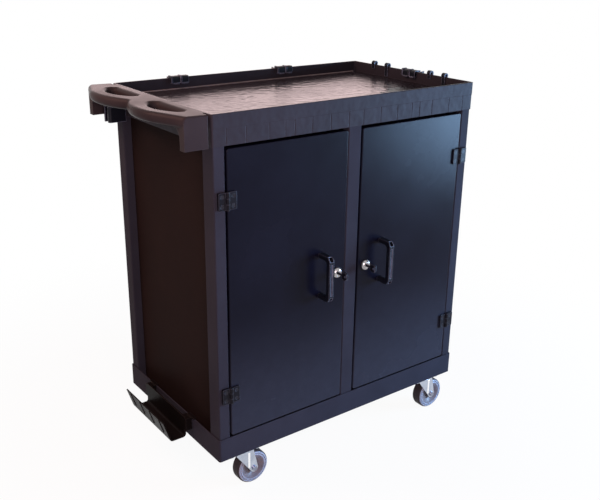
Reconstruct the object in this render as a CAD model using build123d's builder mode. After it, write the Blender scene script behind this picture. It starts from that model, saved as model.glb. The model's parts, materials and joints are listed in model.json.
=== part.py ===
from build123d import *
import os

# Lockable utility cart, in millimetres, with +Z up. The origin lies on the floor under the middle of
# the base. The doors face -Y and the push handle is at the -X end.

# Overall sizes
cart_width = 786.0
cart_depth = 475.0
caster_height = 115.0
base_lip_height = 60.0
cabinet_opening = 715.0
skirt_height = 70.0
corner_radius = 5.0

# Base tray
lip_wall = 3.0
lip_edge_radius = 1.2
deck_thickness = 10.0

# Top tray
rim_wall = 4.5
rim_edge_radius = 1.5
rim_band_height = 32.0
well_depth = 29.0
tray_deck_thickness = 4.0
gutter_width = 14.0
gutter_depth = 1.0
skirt_inset = 0.8
skirt_groove_places = (22.0, 76.0, 129.5, 178.0, 204.0, 247.0, 307.0, 357.0)
skirt_groove_width = 3.0
skirt_groove_depth = 0.7

# Posts, panels and shelf
post_width = 29.5
front_post_depth = 44.5
rear_post_depth = 34.5
centre_post_width = 39.0
centre_post_depth = 25.0
post_wall = 2.5
post_edge_radius = 3.0
post_boss_radius = 5.5
post_boss_inset = 7.5
panel_thickness = 2.0
panel_recess = 22.5
back_recess = 15.0
groove_depth = 8.0
shelf_rise = 340.0
shelf_thickness = 12.0
shelf_front_setback = 30.0
bracket_reach = 28.0
bracket_drop = 35.0
bracket_width = 14.0
bracket_thickness = 3.0
bracket_inset = 3.0

# Doors
door_depth = 18.0
door_skin = 1.5
door_corner_radius = 6.0
door_edge_radius = 2.0
door_proud = 2.0
hinge_gap = 3.5
centre_gap = 2.5
door_bottom_gap = 3.0
door_top_gap = 7.0

# Hinges
hinge_height = 40.0
hinge_spread = 478.0
leaf_reach = 23.0
leaf_thickness = 5.0
leaf_corner_radius = 2.5
leaf_screw_reach = 14.5
leaf_screw_spread = 22.0
barrel_radius = 4.8
hinge_pin_radius = 2.0
hinge_pin_head = 1.0

# Pull handles
pull_length = 118.0
pull_rise = 4.0
pull_width = 14.5
pull_depth = 43.5
pull_bar = 14.5
pull_leg = 13.5
pull_corner_radius = 14.5
pull_inner_radius = 8.0
pull_edge_radius = 1.5
pull_grip_radius = 4.5
pull_groove_width = 4.5
pull_groove_depth = 1.5
pull_groove_margin = 4.0
pull_pocket_width = 10.0
pull_pocket_height = 10.5
pull_pocket_radius = 2.0
pull_seat = 10.0
pull_from_lock = 50.2

# Locks and keys
lock_from_edge = 24.0
lock_head_radius = 14.0
lock_head_height = 9.0
lock_rim_height = 2.0
lock_face_radius = 7.5
lock_stem_radius = 9.0
lock_nut_size = 13.0
lock_nut_thickness = 5.0
plug_radius = 6.0
plug_tail = 7.0
plug_setback = 0.2
cam_thickness = 2.5
cam_width = 16.0
cam_reach = 36.0
key_thickness = 2.0
key_blade_height = 7.0
key_blade_length = 20.0
key_neck = 13.5
key_head_length = 19.5
key_head_height = 20.0
key_head_thickness = 6.0
key_ring_hole = 2.5

# Push handle
handle_reach = 103.0
handle_height = 24.5
handle_tilt = 1.5
handle_bar = 38.0
handle_inner_bar = 25.0
handle_edge_radius = 11.0
handle_shoulder_reach = 97.0
handle_shoulder_place = 152.0
handle_shoulder_radius = 80.0
handle_loop_place = 110.0
handle_neck_depth = 31.0
handle_neck_radius = 18.0
handle_end_radius = 5.0
finger_place = 109.0
finger_chord = 154.0
finger_end_radius = 10.0
cheek_gap = 8.0
cheek_width = 56.5
cheek_drop = 70.5
cheek_thickness = 18.5
cheek_gusset = 22.0

# Tool clips and hooks on the rim
clip_span = 52.0
clip_rib_place = 3.7
clip_rib_width = 4.0
clip_rib_proud = 1.5
clip_pad_depth = 8.0
clip_pad_radius = 6.0
clip_drop = 16.0
clip_rise = 4.0
clip_plate = 3.0
clip_lip_length = 17.0
clip_lip_depth = 11.0
clip_lip_height = 2.5
clip_jaw_reach = 30.0
clip_jaw_sink = 3.0
clip_stem = 12.0
clip_bore_radius = 11.0
clip_jaw_wall = 3.5
clip_mouth = 14.0
back_clip_places = (-211.0, 124.0)
right_clip_place = -6.0
hook_width = 12.0
hook_ring_radius = 7.25
hook_ring_hole = 4.0
hook_ring_sink = 4.0
hook_leg = 3.0
hook_short_leg = 12.0
hook_long_leg = 27.0
hook_outer_drop = 52.0
hook_outer_reach = 16.0
hook_outer_tip = 15.0
inner_hook_places = (90.0, -136.0)
outer_hook_places = (146.0, -82.0)

# Tool clip on the left end
end_clip_from_back = 47.5
end_clip_height = 38.0
end_clip_overhang = 15.0
end_clip_length = 44.0
end_clip_width = 34.0
end_clip_corner_radius = 6.0
end_clip_bore_radius = 12.0
end_clip_floor = 10.0
end_clip_mouth = 15.0

# Tool rest on the left side of the base
rest_place = 5.0
rest_length = 206.0
rest_stand_off = 14.0
rest_sheet = 3.0
rest_floor_width = 40.5
rest_floor_rise = 6.0
rest_lip_height = 58.0
rest_lip_lean = 19.0
rest_bend_radius = 9.0
rest_hook_place = 1.0
rest_hook_width = 32.0
rest_hook_spread = 205.0
rest_hook_drop = 18.0
rest_arm_width = 25.0
rest_arm_height = 34.0
rest_rib_count = 4
rest_rib_pitch = 52.0
rest_rib_width = 2.0
rest_rib_height = 1.5

# Casters
caster_inset_x = 79.0
caster_inset_y = 38.5
wheel_radius = 45.0
wheel_width = 30.0
wheel_trail = 32.0
wheel_side_gap = 2.0
tyre_depth = 12.0
tyre_edge_radius = 6.0
hub_boss_radius = 10.0
hub_recess = 6.0
hub_rim = 5.0
axle_radius = 4.0
axle_head_radius = 6.5
axle_head_height = 4.0
fork_sheet = 3.0
fork_crown = 4.0
fork_crown_radius = 25.0
fork_foot_radius = 11.0
fork_shoulder_back = 18.0
fork_shoulder_front = 30.0
fork_shoulder_height = 8.0
plate_length = 92.0
plate_width = 68.0
plate_thickness = 3.5
plate_corner_radius = 6.0
race_radius = 24.0
race_height = 7.5
king_pin_radius = 6.0
king_pin_head_radius = 10.0
king_pin_head_height = 3.0
plate_bolt_span_x = 73.0
plate_bolt_span_y = 48.0
plate_bolt_radius = 4.0
plate_bolt_head_radius = 6.5
plate_bolt_head_height = 5.0
plate_bolt_grip = 8.0

# Screws
small_screw_radius = 2.0
small_head_radius = 4.0
small_head_height = 2.0
small_screw_tail = 4.0
pull_screw_radius = 2.5
pull_head_radius = 4.2
pull_head_height = 5.0
pull_screw_tail = 6.0
post_screw_radius = 3.0
post_head_radius = 5.5
post_head_height = 3.5
post_screw_bite = 14.0
handle_screw_places = (-165.0, -55.0, 55.0, 165.0)

# Clearances
running_clearance = 0.05
seat_clearance = 0.2
moving_clearance = 0.5
cam_clearance = 1.0
screw_clearance = 0.1

# Heights worked out from the sizes above
base_bottom = caster_height
base_floor = base_bottom + deck_thickness
base_top = base_bottom + base_lip_height
skirt_bottom = base_top + cabinet_opening
rim_top = skirt_bottom + skirt_height
band_bottom = rim_top - rim_band_height
tray_floor = rim_top - well_depth
gutter_floor = tray_floor - gutter_depth
tray_underside = tray_floor - tray_deck_thickness
post_height = tray_underside - base_floor
handle_core = rim_top - handle_height / 2

# Faces of the frame: the posts stand just inside the lip of the base
end_x = cart_width / 2
front_y = cart_depth / 2
frame_x = end_x - lip_wall
frame_y = front_y - lip_wall
skirt_x = end_x - skirt_inset
skirt_y = front_y - skirt_inset
post_inner_x = frame_x - post_width
front_post_back = -frame_y + front_post_depth
rear_post_front = frame_y - rear_post_depth
boss_x = frame_x - post_boss_inset
boss_y = frame_y - post_boss_inset
panel_x = frame_x - panel_recess - panel_thickness / 2
back_y = frame_y - back_recess - panel_thickness / 2
groove_width = panel_thickness + 2 * seat_clearance
panel_bite = groove_depth - moving_clearance

# Doors, hinge axes, locks and pulls, given for the right door and mirrored for the left one
door_outer_x = post_inner_x - hinge_gap
door_inner_x = centre_post_width / 2 + centre_gap
door_width = door_outer_x - door_inner_x
door_x = (door_outer_x + door_inner_x) / 2
door_bottom = base_top + door_bottom_gap
door_top = skirt_bottom - door_top_gap
door_z = (door_bottom + door_top) / 2
door_front = -frame_y - door_proud
door_back = door_front + door_depth
hinge_x = (post_inner_x + door_outer_x) / 2
hinge_y = door_front - leaf_thickness - moving_clearance
leaf_front = hinge_y + moving_clearance
leaf_start = barrel_radius + moving_clearance
leaf_plate = leaf_reach - leaf_start
leaf_middle = (leaf_reach + leaf_start) / 2
hinge_heights = (door_z - hinge_spread / 2, door_z + hinge_spread / 2)
knuckle_height = (hinge_height - 2 * moving_clearance) / 3
lock_x = door_inner_x + lock_from_edge
lock_z = door_z
pull_x = lock_x + pull_from_lock
pull_z = lock_z + pull_rise
pull_front = door_front - pull_depth
pull_screw_rise = (pull_length - pull_leg) / 2
centre_post_back = -frame_y + centre_post_depth
cam_front = centre_post_back + cam_clearance
cam_back = cam_front + cam_thickness
stem_end = cam_front - moving_clearance
lock_face = door_front - lock_head_height
plug_face = lock_face + plug_setback

# Casters
swivel_x = end_x - caster_inset_x
swivel_y = front_y - caster_inset_y
plate_bottom = base_bottom - plate_thickness
race_bottom = plate_bottom - race_height
crown_top = race_bottom - moving_clearance
crown_bottom = crown_top - fork_crown
fork_gap = wheel_width + 2 * wheel_side_gap
fork_outer = fork_gap / 2 + fork_sheet
hub_radius = wheel_radius - tyre_depth

sides = (("left", -1), ("right", 1))
ends = (("front", -1), ("rear", 1))
casters = [(f"{end}_{side}", sx * swivel_x, sy * swivel_y) for end, sy in ends for side, sx in sides]

os.makedirs("parts", exist_ok=True)


def level(z):
    """A level plane at height z."""
    return Plane.XY.offset(z)


def facing_front(y):
    """An upright plane at depth y that looks to the front, with X to the right and Z up."""
    return Plane.XZ.offset(-y)


def facing_right(x):
    """An upright plane at x that looks to the right, with Y across and Z up."""
    return Plane.YZ.offset(x)


# Base tray: a moulded deck with a lip all round, the cabinet's floor and the seat of the casters
caster_bolt_places = [
    (x + bx * plate_bolt_span_x / 2, y + by * plate_bolt_span_y / 2)
    for _, x, y in casters
    for bx in (-1, 1)
    for by in (-1, 1)
]
post_screw_places = [(sx * boss_x, sy * boss_y) for _, sx in sides for _, sy in ends]
with BuildPart() as base_tray:
    with BuildSketch(level(base_bottom)):
        RectangleRounded(cart_width, cart_depth, corner_radius)
    extrude(amount=base_lip_height)
    with BuildSketch(level(base_floor)):
        RectangleRounded(2 * frame_x, 2 * frame_y, corner_radius - lip_wall)
    extrude(amount=base_lip_height - deck_thickness, mode=Mode.SUBTRACT)
    fillet(base_tray.faces().sort_by(Axis.Z)[-1].edges(), lip_edge_radius)
    with BuildSketch(level(base_bottom)):
        with Locations(*post_screw_places):
            Circle(post_screw_radius + screw_clearance)
    extrude(amount=deck_thickness, mode=Mode.SUBTRACT)
    with BuildSketch(level(base_bottom)):
        with Locations(*caster_bolt_places):
            Circle(plate_bolt_radius + screw_clearance)
    extrude(amount=plate_bolt_grip, mode=Mode.SUBTRACT)
base_tray.part.label = "base_tray"
export_step(base_tray.part, "parts/base_tray.step")

# Top tray: a well with a drip gutter, a plain rim band and a grooved skirt that caps the posts
skirt_screw_z = (skirt_bottom + tray_underside) / 2
skirt_screw_places = (
    ((-frame_y + front_post_back) / 2, skirt_screw_z),
    ((frame_y + rear_post_front) / 2, skirt_screw_z),
)
skirt_groove = (
    (-skirt_groove_width / 2, 0),
    (0, -skirt_groove_depth),
    (skirt_groove_width / 2, 0),
    (0, skirt_groove_depth),
)
end_groove_places = [place for place in skirt_groove_places if place < front_y - 2 * rim_band_height]
with BuildPart() as top_tray:
    with BuildSketch(level(skirt_bottom)):
        RectangleRounded(2 * skirt_x, 2 * skirt_y, corner_radius - skirt_inset)
    extrude(amount=skirt_height)
    with BuildSketch(level(band_bottom)):
        RectangleRounded(cart_width, cart_depth, corner_radius)
    extrude(amount=rim_band_height)
    with BuildSketch(level(skirt_bottom)):
        RectangleRounded(
            2 * (frame_x + seat_clearance), 2 * (frame_y + seat_clearance), corner_radius - lip_wall
        )
    extrude(amount=tray_underside - skirt_bottom, mode=Mode.SUBTRACT)
    with BuildSketch(level(gutter_floor)):
        RectangleRounded(cart_width - 2 * rim_wall, cart_depth - 2 * rim_wall, corner_radius)
    extrude(amount=rim_top - gutter_floor, mode=Mode.SUBTRACT)
    fillet(top_tray.faces().sort_by(Axis.Z)[-1].edges(), rim_edge_radius)
    with BuildSketch(level(gutter_floor)):
        RectangleRounded(
            cart_width - 2 * (rim_wall + gutter_width),
            cart_depth - 2 * (rim_wall + gutter_width),
            corner_radius,
        )
    extrude(amount=gutter_depth)
    with BuildSketch(level(skirt_bottom)):
        for way in (-1, 1):
            for face_y in (-skirt_y, skirt_y):
                with Locations(*[(way * place, face_y) for place in skirt_groove_places]):
                    Polygon(*skirt_groove)
            with Locations(*[(skirt_x, way * place) for place in end_groove_places]):
                Polygon(*skirt_groove, rotation=90)
    extrude(amount=band_bottom - skirt_bottom, mode=Mode.SUBTRACT)
    with BuildSketch(facing_right(-end_x)):
        with Locations(*skirt_screw_places):
            Circle(post_screw_radius + screw_clearance)
    extrude(amount=cart_width, mode=Mode.SUBTRACT)
    with BuildSketch(facing_right(-end_x)):
        with Locations(*[(y, handle_core) for y in handle_screw_places]):
            Circle(small_screw_radius + screw_clearance)
    extrude(amount=rim_wall, mode=Mode.SUBTRACT)
top_tray.part.label = "top_tray"
export_step(top_tray.part, "parts/top_tray.step")

# Push handle: one moulding with two finger loops that rise a little outwards, and a cheek at each end
handle_plane = Plane(origin=(-end_x, 0, rim_top), x_dir=(-1, 0, 0), z_dir=(0, 0, 1))
handle_plane = handle_plane.rotated((0, handle_tilt, 0))
handle_bottom = rim_top - handle_height
cheek_x = -end_x - cheek_gap
cheek_far = cheek_gap + cheek_width
cheek_bottom = rim_top - cheek_drop
cheek_inner_y = front_y - cheek_thickness
gusset_y = cheek_inner_y - cheek_gusset
seat_end = cheek_inner_y - handle_edge_radius / 2
seat_overlap = handle_height / 4
neck = (handle_reach - handle_neck_depth, 0)
with BuildPart() as push_handle:
    with BuildSketch(handle_plane) as loops:
        with BuildLine():
            Polyline(
                (handle_shoulder_reach, -handle_shoulder_place),
                (cheek_far, -front_y),
                (cheek_gap, -front_y),
                (cheek_gap, -seat_end),
                (-seat_overlap, -seat_end),
                (-seat_overlap, seat_end),
                (cheek_gap, seat_end),
                (cheek_gap, front_y),
                (cheek_far, front_y),
                (handle_shoulder_reach, handle_shoulder_place),
            )
            for way in (-1, 1):
                loop_start = (handle_shoulder_reach, way * handle_shoulder_place)
                ThreePointArc(loop_start, (handle_reach, way * handle_loop_place), neck)
        make_face()
        fillet(loops.vertices().sort_by_distance((*neck, 0))[0], handle_neck_radius)
        for way in (-1, 1):
            loop_start = (handle_shoulder_reach, way * handle_shoulder_place, 0)
            fillet(loops.vertices().sort_by_distance(loop_start)[0], handle_shoulder_radius)
    extrude(amount=-handle_height)
    for way in (-1, 1):
        with BuildSketch(handle_plane) as finger_hole:
            with BuildLine():
                hole_start = (handle_inner_bar, way * (finger_place - finger_chord / 2))
                hole_end = (handle_inner_bar, way * (finger_place + finger_chord / 2))
                ThreePointArc(hole_start, (handle_reach - handle_bar, way * finger_place), hole_end)
                Line(hole_end, hole_start)
            make_face()
            fillet(finger_hole.vertices(), finger_end_radius)
        extrude(amount=-handle_height, mode=Mode.SUBTRACT)
    flat_edges = push_handle.faces().filter_by(handle_plane).edges()
    loop_edges = flat_edges.filter_by_position(Axis.X, -end_x - 2 * handle_reach, cheek_x - cheek_gap / 2)
    loop_edges = loop_edges.filter_by_position(Axis.Y, -cheek_inner_y, cheek_inner_y)
    fillet(loop_edges, handle_edge_radius)
    for way in (-1, 1):
        end_edges = push_handle.faces().filter_by(Axis.Y).sort_by(Axis.Y)[(way - 1) // 2].edges()
        end_edges = end_edges.filter_by_position(Axis.X, -end_x - 2 * handle_reach, cheek_x - cheek_gap / 2)
        fillet(end_edges.group_by(Axis.Z)[-1], handle_end_radius)
    with BuildSketch(facing_right(-end_x)):
        with Locations((0, handle_core)):
            Rectangle(cart_depth, 3 * handle_height)
    extrude(amount=2 * seat_overlap, mode=Mode.SUBTRACT)
    for way in (-1, 1):
        with BuildSketch(level(cheek_bottom)):
            with Locations((cheek_x - cheek_width / 2, way * (front_y - cheek_thickness / 2))):
                Rectangle(cheek_width, cheek_thickness)
        extrude(amount=handle_core - cheek_bottom)
        with BuildSketch(facing_right(cheek_x)):
            with BuildLine():
                Polyline(
                    (way * cheek_inner_y, handle_bottom - cheek_gusset),
                    (way * cheek_inner_y, handle_core),
                    (way * gusset_y, handle_core),
                    (way * gusset_y, handle_bottom),
                )
                RadiusArc(
                    (way * gusset_y, handle_bottom),
                    (way * cheek_inner_y, handle_bottom - cheek_gusset),
                    way * cheek_gusset,
                )
            make_face()
        extrude(amount=-cheek_width)
    with BuildSketch(facing_right(-end_x)):
        with Locations(*[(y, handle_core) for y in handle_screw_places]):
            Circle(small_screw_radius + screw_clearance)
    extrude(amount=-handle_inner_bar / 2, mode=Mode.SUBTRACT)
push_handle.part.label = "push_handle"
export_step(push_handle.part, "parts/push_handle.step")

# Front posts: hollow extrusions with a screw boss and a groove for the side panel
bracket_front_y = -frame_y + front_post_depth - bracket_width / 2 - bracket_inset
bracket_rear_y = rear_post_front + bracket_width / 2
shelf_bottom = base_floor + shelf_rise - shelf_thickness
bracket_top = shelf_bottom
bracket_screw_z = bracket_top - bracket_drop * 2 / 3
hinge_screw_rises = (-leaf_screw_spread / 2, leaf_screw_spread / 2)
hinge_screw_heights = [hz + rise for hz in hinge_heights for rise in hinge_screw_rises]
for side, sx in sides:
    with BuildPart() as front_post:
        with BuildSketch(level(base_floor)):
            with Locations((sx * (frame_x - post_width / 2), -frame_y + front_post_depth / 2)):
                RectangleRounded(post_width, front_post_depth, post_edge_radius)
                Rectangle(post_width - 2 * post_wall, front_post_depth - 2 * post_wall, mode=Mode.SUBTRACT)
            with Locations((sx * boss_x, -boss_y)):
                Circle(post_boss_radius)
            with Locations((sx * panel_x, front_post_back - (groove_depth + post_wall) / 2)):
                Rectangle(groove_width + 2 * post_wall, groove_depth + post_wall)
            with Locations((sx * panel_x, front_post_back - groove_depth / 2)):
                Rectangle(groove_width, groove_depth, mode=Mode.SUBTRACT)
        extrude(amount=post_height)
        with BuildSketch(level(base_floor)):
            with Locations((sx * boss_x, -boss_y)):
                Circle(post_screw_radius + screw_clearance)
        extrude(amount=post_screw_bite, mode=Mode.SUBTRACT)
        with BuildSketch(facing_front(-frame_y)):
            with Locations(*[(sx * (hinge_x + leaf_screw_reach), z) for z in hinge_screw_heights]):
                Circle(small_screw_radius + screw_clearance)
        extrude(amount=-post_wall, mode=Mode.SUBTRACT)
        with BuildSketch(facing_right(sx * frame_x)):
            with Locations(skirt_screw_places[0]):
                Circle(post_screw_radius + screw_clearance)
        extrude(amount=-sx * post_wall, mode=Mode.SUBTRACT)
        with BuildSketch(facing_right(sx * post_inner_x)):
            with Locations((bracket_front_y, bracket_screw_z)):
                Circle(small_screw_radius + screw_clearance)
        extrude(amount=sx * post_wall, mode=Mode.SUBTRACT)
    front_post.part.label = f"front_{side}_post"
    export_step(front_post.part, f"parts/front_{side}_post.step")

# Rear posts: like the front ones, with a second groove for the back panel
for side, sx in sides:
    with BuildPart() as rear_post:
        with BuildSketch(level(base_floor)):
            with Locations((sx * (frame_x - post_width / 2), frame_y - rear_post_depth / 2)):
                RectangleRounded(post_width, rear_post_depth, post_edge_radius)
                Rectangle(post_width - 2 * post_wall, rear_post_depth - 2 * post_wall, mode=Mode.SUBTRACT)
            with Locations((sx * boss_x, boss_y)):
                Circle(post_boss_radius)
            with Locations((sx * panel_x, rear_post_front + (groove_depth + post_wall) / 2)):
                Rectangle(groove_width + 2 * post_wall, groove_depth + post_wall)
            with Locations((sx * panel_x, rear_post_front + groove_depth / 2)):
                Rectangle(groove_width, groove_depth, mode=Mode.SUBTRACT)
            with Locations((sx * (post_inner_x + (groove_depth + post_wall) / 2), back_y)):
                Rectangle(groove_depth + post_wall, groove_width + 2 * post_wall)
            with Locations((sx * (post_inner_x + groove_depth / 2), back_y)):
                Rectangle(groove_depth, groove_width, mode=Mode.SUBTRACT)
        extrude(amount=post_height)
        with BuildSketch(level(base_floor)):
            with Locations((sx * boss_x, boss_y)):
                Circle(post_screw_radius + screw_clearance)
        extrude(amount=post_screw_bite, mode=Mode.SUBTRACT)
        with BuildSketch(facing_right(sx * frame_x)):
            with Locations(skirt_screw_places[1]):
                Circle(post_screw_radius + screw_clearance)
        extrude(amount=-sx * post_wall, mode=Mode.SUBTRACT)
        with BuildSketch(facing_right(sx * post_inner_x)):
            with Locations((bracket_rear_y, bracket_screw_z)):
                Circle(small_screw_radius + screw_clearance)
        extrude(amount=sx * post_wall, mode=Mode.SUBTRACT)
    rear_post.part.label = f"rear_{side}_post"
    export_step(rear_post.part, f"parts/rear_{side}_post.step")

# Centre post: the stop that both doors close beside and both lock cams turn behind
with BuildPart() as centre_post:
    with BuildSketch(level(base_floor)):
        with Locations((0, -frame_y + centre_post_depth / 2)):
            RectangleRounded(centre_post_width, centre_post_depth, post_edge_radius)
            Rectangle(
                centre_post_width - 2 * post_wall, centre_post_depth - 2 * post_wall, mode=Mode.SUBTRACT
            )
    extrude(amount=post_height)
centre_post.part.label = "centre_post"
export_step(centre_post.part, "parts/centre_post.step")

# Post screws: four up through the deck and four in through the ends of the skirt
with BuildPart() as post_screws:
    with BuildSketch(level(base_bottom - post_head_height)):
        with Locations(*post_screw_places):
            Circle(post_head_radius)
    extrude(amount=post_head_height)
    with BuildSketch(level(base_bottom)):
        with Locations(*post_screw_places):
            Circle(post_screw_radius)
    extrude(amount=deck_thickness + post_screw_bite - moving_clearance)
    for _, sx in sides:
        with BuildSketch(facing_right(sx * skirt_x)):
            with Locations(*skirt_screw_places):
                Circle(post_head_radius)
        extrude(amount=sx * post_head_height)
        with BuildSketch(facing_right(sx * skirt_x)):
            with Locations(*skirt_screw_places):
                Circle(post_screw_radius)
        extrude(amount=-sx * (skirt_x - frame_x + post_wall + small_screw_tail))
post_screws.part.label = "post_screws"
export_step(post_screws.part, "parts/post_screws.step")

# Side panels: flat sheets that slide into the grooves of the front and rear posts
for side, sx in sides:
    with BuildPart() as side_panel:
        with BuildSketch(level(base_floor)):
            with Locations((sx * panel_x, (front_post_back + rear_post_front) / 2)):
                Rectangle(panel_thickness, rear_post_front - front_post_back + 2 * panel_bite)
        extrude(amount=post_height)
    side_panel.part.label = f"{side}_side_panel"
    export_step(side_panel.part, f"parts/{side}_side_panel.step")

# Back panel: a flat sheet in the grooves of the two rear posts
with BuildPart() as back_panel:
    with BuildSketch(level(base_floor)):
        with Locations((0, back_y)):
            Rectangle(2 * (post_inner_x + panel_bite), panel_thickness)
    extrude(amount=post_height)
back_panel.part.label = "back_panel"
export_step(back_panel.part, "parts/back_panel.step")

# Middle shelf: a plain board that lies loose on four brackets
shelf_front = -frame_y + shelf_front_setback
shelf_back = back_y - panel_thickness / 2 - bracket_thickness
with BuildPart() as middle_shelf:
    with BuildSketch(level(shelf_bottom)):
        with Locations((0, (shelf_front + shelf_back) / 2)):
            Rectangle(2 * (post_inner_x - bracket_thickness), shelf_back - shelf_front)
    extrude(amount=shelf_thickness)
middle_shelf.part.label = "middle_shelf"
export_step(middle_shelf.part, "parts/middle_shelf.step")

# Shelf brackets: four angles on the inner faces of the corner posts
with BuildPart() as shelf_brackets:
    for _, sx in sides:
        for bracket_y in (bracket_front_y, bracket_rear_y):
            with BuildSketch(level(bracket_top - bracket_thickness)):
                with Locations((sx * (post_inner_x - bracket_reach / 2), bracket_y)):
                    Rectangle(bracket_reach, bracket_width)
            extrude(amount=bracket_thickness)
            with BuildSketch(level(bracket_top - bracket_drop)):
                with Locations((sx * (post_inner_x - bracket_thickness / 2), bracket_y)):
                    Rectangle(bracket_thickness, bracket_width)
            extrude(amount=bracket_drop)
            with BuildSketch(facing_right(sx * post_inner_x)):
                with Locations((bracket_y, bracket_screw_z)):
                    Circle(small_screw_radius + screw_clearance)
            extrude(amount=-sx * bracket_thickness, mode=Mode.SUBTRACT)
shelf_brackets.part.label = "shelf_brackets"
export_step(shelf_brackets.part, "parts/shelf_brackets.step")

# Shelf screws: one in each bracket
with BuildPart() as shelf_screws:
    for _, sx in sides:
        for bracket_y in (bracket_front_y, bracket_rear_y):
            with BuildSketch(facing_right(sx * (post_inner_x - bracket_thickness))):
                with Locations((bracket_y, bracket_screw_z)):
                    Circle(small_head_radius)
            extrude(amount=-sx * small_head_height)
            with BuildSketch(facing_right(sx * (post_inner_x - bracket_thickness))):
                with Locations((bracket_y, bracket_screw_z)):
                    Circle(small_screw_radius)
            extrude(amount=sx * (bracket_thickness + post_wall - moving_clearance))
shelf_screws.part.label = "shelf_screws"
export_step(shelf_screws.part, "parts/shelf_screws.step")

# Push handle screws: driven from inside the well through the end wall
with BuildPart() as push_handle_screws:
    handle_screw_spots = [(y, handle_core) for y in handle_screw_places]
    with BuildSketch(facing_right(-end_x + rim_wall)):
        with Locations(*handle_screw_spots):
            Circle(small_head_radius)
    extrude(amount=small_head_height)
    with BuildSketch(facing_right(-end_x + rim_wall)):
        with Locations(*handle_screw_spots):
            Circle(small_screw_radius)
    extrude(amount=-(rim_wall + handle_inner_bar / 2 - moving_clearance))
push_handle_screws.part.label = "push_handle_screws"
export_step(push_handle_screws.part, "parts/push_handle_screws.step")

# Doors: shallow sheet pans with holes for the hinge screws, the lock and the pull
door_height = door_top - door_bottom
for side, sx in sides:
    with BuildPart() as door:
        with BuildSketch(facing_front(door_back)):
            with Locations((sx * door_x, door_z)):
                RectangleRounded(door_width, door_height, door_corner_radius)
        extrude(amount=door_depth)
        fillet(door.faces().sort_by(Axis.Y)[0].edges(), door_edge_radius)
        with BuildSketch(facing_front(door_back)):
            with Locations((sx * door_x, door_z)):
                RectangleRounded(
                    door_width - 2 * door_skin, door_height - 2 * door_skin, door_corner_radius - door_skin
                )
        extrude(amount=door_depth - door_skin, mode=Mode.SUBTRACT)
        with BuildSketch(facing_front(door_front)):
            with Locations((sx * lock_x, lock_z)):
                Circle(lock_stem_radius + seat_clearance)
            with Locations(*[(sx * pull_x, pull_z + way * pull_screw_rise) for way in (-1, 1)]):
                Circle(pull_screw_radius + screw_clearance)
            with Locations(*[(sx * (hinge_x - leaf_screw_reach), z) for z in hinge_screw_heights]):
                Circle(small_screw_radius + screw_clearance)
        extrude(amount=-door_skin, mode=Mode.SUBTRACT)
    door.part.label = f"{side}_door"
    export_step(door.part, f"parts/{side}_door.step")

# Frame hinge leaves: one at each hinge, screwed to the front of the corner post
web_length = leaf_start + leaf_corner_radius
web_depth = barrel_radius - moving_clearance
web_y = hinge_y + (barrel_radius + moving_clearance) / 2
with BuildPart() as frame_hinge_leaves:
    for _, sx in sides:
        for hinge_z in hinge_heights:
            with BuildSketch(facing_front(-frame_y)):
                with Locations((sx * (hinge_x + leaf_middle), hinge_z)):
                    RectangleRounded(leaf_plate, hinge_height, leaf_corner_radius)
            extrude(amount=-frame_y - leaf_front)
            for knuckle_z in (hinge_z - hinge_height / 2, hinge_z + hinge_height / 2 - knuckle_height):
                with BuildSketch(level(knuckle_z)):
                    with Locations((sx * hinge_x, hinge_y)):
                        Circle(barrel_radius)
                    with Locations((sx * (hinge_x + web_length / 2), web_y)):
                        Rectangle(web_length, web_depth)
                    with Locations((sx * hinge_x, hinge_y)):
                        Circle(hinge_pin_radius + running_clearance, mode=Mode.SUBTRACT)
                extrude(amount=knuckle_height)
            hinge_screw_spots = [(sx * (hinge_x + leaf_screw_reach), hinge_z + r) for r in hinge_screw_rises]
            with BuildSketch(facing_front(leaf_front)):
                with Locations(*hinge_screw_spots):
                    Circle(small_screw_radius + screw_clearance)
            extrude(amount=leaf_front + frame_y, mode=Mode.SUBTRACT)
            with BuildSketch(facing_front(leaf_front)):
                with Locations(*hinge_screw_spots):
                    Circle(small_head_radius + seat_clearance)
            extrude(amount=-small_head_height - seat_clearance, mode=Mode.SUBTRACT)
frame_hinge_leaves.part.label = "frame_hinge_leaves"
export_step(frame_hinge_leaves.part, "parts/frame_hinge_leaves.step")

# Frame hinge screws: flat heads sunk in the leaves
leaf_seat = leaf_front + small_head_height + seat_clearance
with BuildPart() as frame_hinge_screws:
    for _, sx in sides:
        hinge_screw_spots = [(sx * (hinge_x + leaf_screw_reach), z) for z in hinge_screw_heights]
        with BuildSketch(facing_front(leaf_seat)):
            with Locations(*hinge_screw_spots):
                Circle(small_head_radius)
        extrude(amount=small_head_height)
        with BuildSketch(facing_front(leaf_seat)):
            with Locations(*hinge_screw_spots):
                Circle(small_screw_radius)
        extrude(amount=leaf_seat + frame_y - post_wall - small_screw_tail)
frame_hinge_screws.part.label = "frame_hinge_screws"
export_step(frame_hinge_screws.part, "parts/frame_hinge_screws.step")

# Hinge pins: one through the three knuckles of each hinge, with a flat head at both ends
with BuildPart() as hinge_pins:
    for _, sx in sides:
        for hinge_z in hinge_heights:
            with BuildSketch(level(hinge_z - hinge_height / 2)):
                with Locations((sx * hinge_x, hinge_y)):
                    Circle(hinge_pin_radius)
            extrude(amount=hinge_height)
            for head_z in (hinge_z - hinge_height / 2 - hinge_pin_head, hinge_z + hinge_height / 2):
                with BuildSketch(level(head_z)):
                    with Locations((sx * hinge_x, hinge_y)):
                        Circle(barrel_radius - hinge_pin_head)
                extrude(amount=hinge_pin_head)
hinge_pins.part.label = "hinge_pins"
export_step(hinge_pins.part, "parts/hinge_pins.step")

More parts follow.
